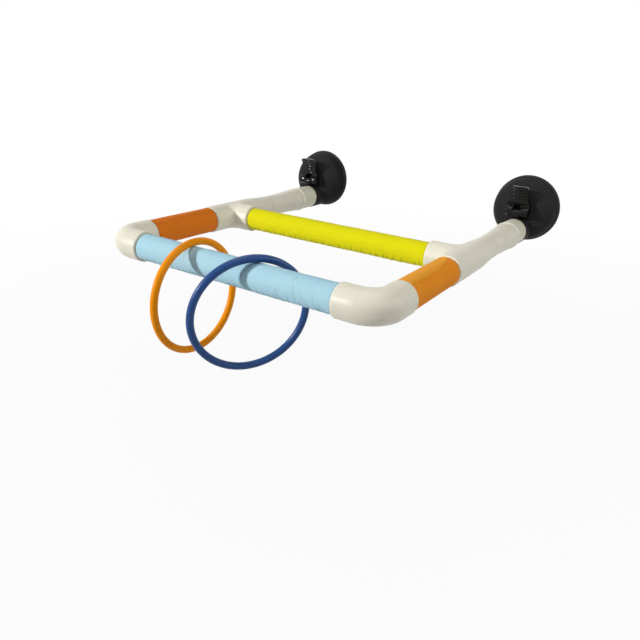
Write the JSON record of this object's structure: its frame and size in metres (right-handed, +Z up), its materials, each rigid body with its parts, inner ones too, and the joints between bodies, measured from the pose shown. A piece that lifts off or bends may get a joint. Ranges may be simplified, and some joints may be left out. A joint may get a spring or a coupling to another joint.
{
  "type": "window bird perch",
  "caption": "U-shaped window perch of wrapped plastic pipe with a crossbar, lever-lock suction cups on its arm ends and toy rings hanging on its front bar.",
  "frame": {"origin": "on the window glass, midway between the axes of the two suction cups", "axes": "+X along the front bar to the right seen from the room, +Y through the glass, away from the perch, +Z up"},
  "size_m": [0.313, 0.3495, 0.1274],
  "materials": {
    "fitting": "satin moulded",
    "pipe": "satin extruded",
    "plug": "satin moulded",
    "tape_blue": "cohesive bandage",
    "tape_yellow": "cohesive bandage",
    "tape_orange": "cohesive bandage",
    "housing": "semi-gloss moulded",
    "rubber": "smooth",
    "steel": "plated",
    "ring_orange": "gloss moulded",
    "ring_blue": "gloss moulded"
  },
  "bodies": {
    "frame": {"elbow_left": "fitting", "elbow_right": "fitting", "tee_left": "fitting", "tee_right": "fitting", "front_pipe": "pipe", "cross_pipe": "pipe", "side_pipe_left": "pipe", "side_pipe_right": "pipe", "arm_pipe_left": "pipe", "arm_pipe_right": "pipe", "front_wrap": "tape_blue", "cross_wrap": "tape_yellow", "side_wrap_left": "tape_orange", "side_wrap_right": "tape_orange", "coupling_left": "fitting", "coupling_right": "fitting", "end_plug_left": "plug", "end_plug_right": "plug", "mounting_screw_left": "steel", "mounting_screw_right": "steel", "cup_housing_left": "housing", "cup_housing_right": "housing", "rubber_cup_left": "rubber", "rubber_cup_right": "rubber"},
    "stem_left": {"cup_stem_left": "housing"},
    "stem_right": {"cup_stem_right": "housing"},
    "lever_left": {"lock_lever_left": "housing", "pivot_pin_left": "steel"},
    "lever_right": {"lock_lever_right": "housing", "pivot_pin_right": "steel"},
    "orange_ring": {"ring_orange": "ring_orange"},
    "blue_ring": {"ring_blue": "ring_blue"}
  },
  "joints": [
    {"name": "stem_left_slide", "type": "slide", "parent": "frame", "child": "stem_left", "axis": [0, 1, 0], "range_m": [0, 0.003]},
    {"name": "stem_right_slide", "type": "slide", "parent": "frame", "child": "stem_right", "axis": [0, 1, 0], "range_m": [0, 0.003]},
    {"name": "lever_left_hinge", "type": "hinge", "parent": "stem_left", "child": "lever_left", "pos_m": [-0.124, -0.033, 0], "axis": [1, 0, 0], "range_deg": [0, 90]},
    {"name": "lever_right_hinge", "type": "hinge", "parent": "stem_right", "child": "lever_right", "pos_m": [0.124, -0.033, 0], "axis": [1, 0, 0], "range_deg": [0, 90]},
    {"name": "orange_ring_swing", "type": "hinge", "parent": "frame", "child": "orange_ring", "pos_m": [-0.0385, -0.303, -0.018], "axis": [1, 0, 0], "range_deg": [-110, 110]},
    {"name": "blue_ring_swing", "type": "hinge", "parent": "frame", "child": "blue_ring", "pos_m": [0.0265, -0.303, -0.018], "axis": [1, 0, 0], "range_deg": [-110, 110]}
  ],
  "couplings": [
    {"joint": "stem_left_slide", "follows": "lever_left_hinge", "m_per_rad": 0.0019098},
    {"joint": "stem_right_slide", "follows": "lever_right_hinge", "m_per_rad": 0.0019098}
  ]
}
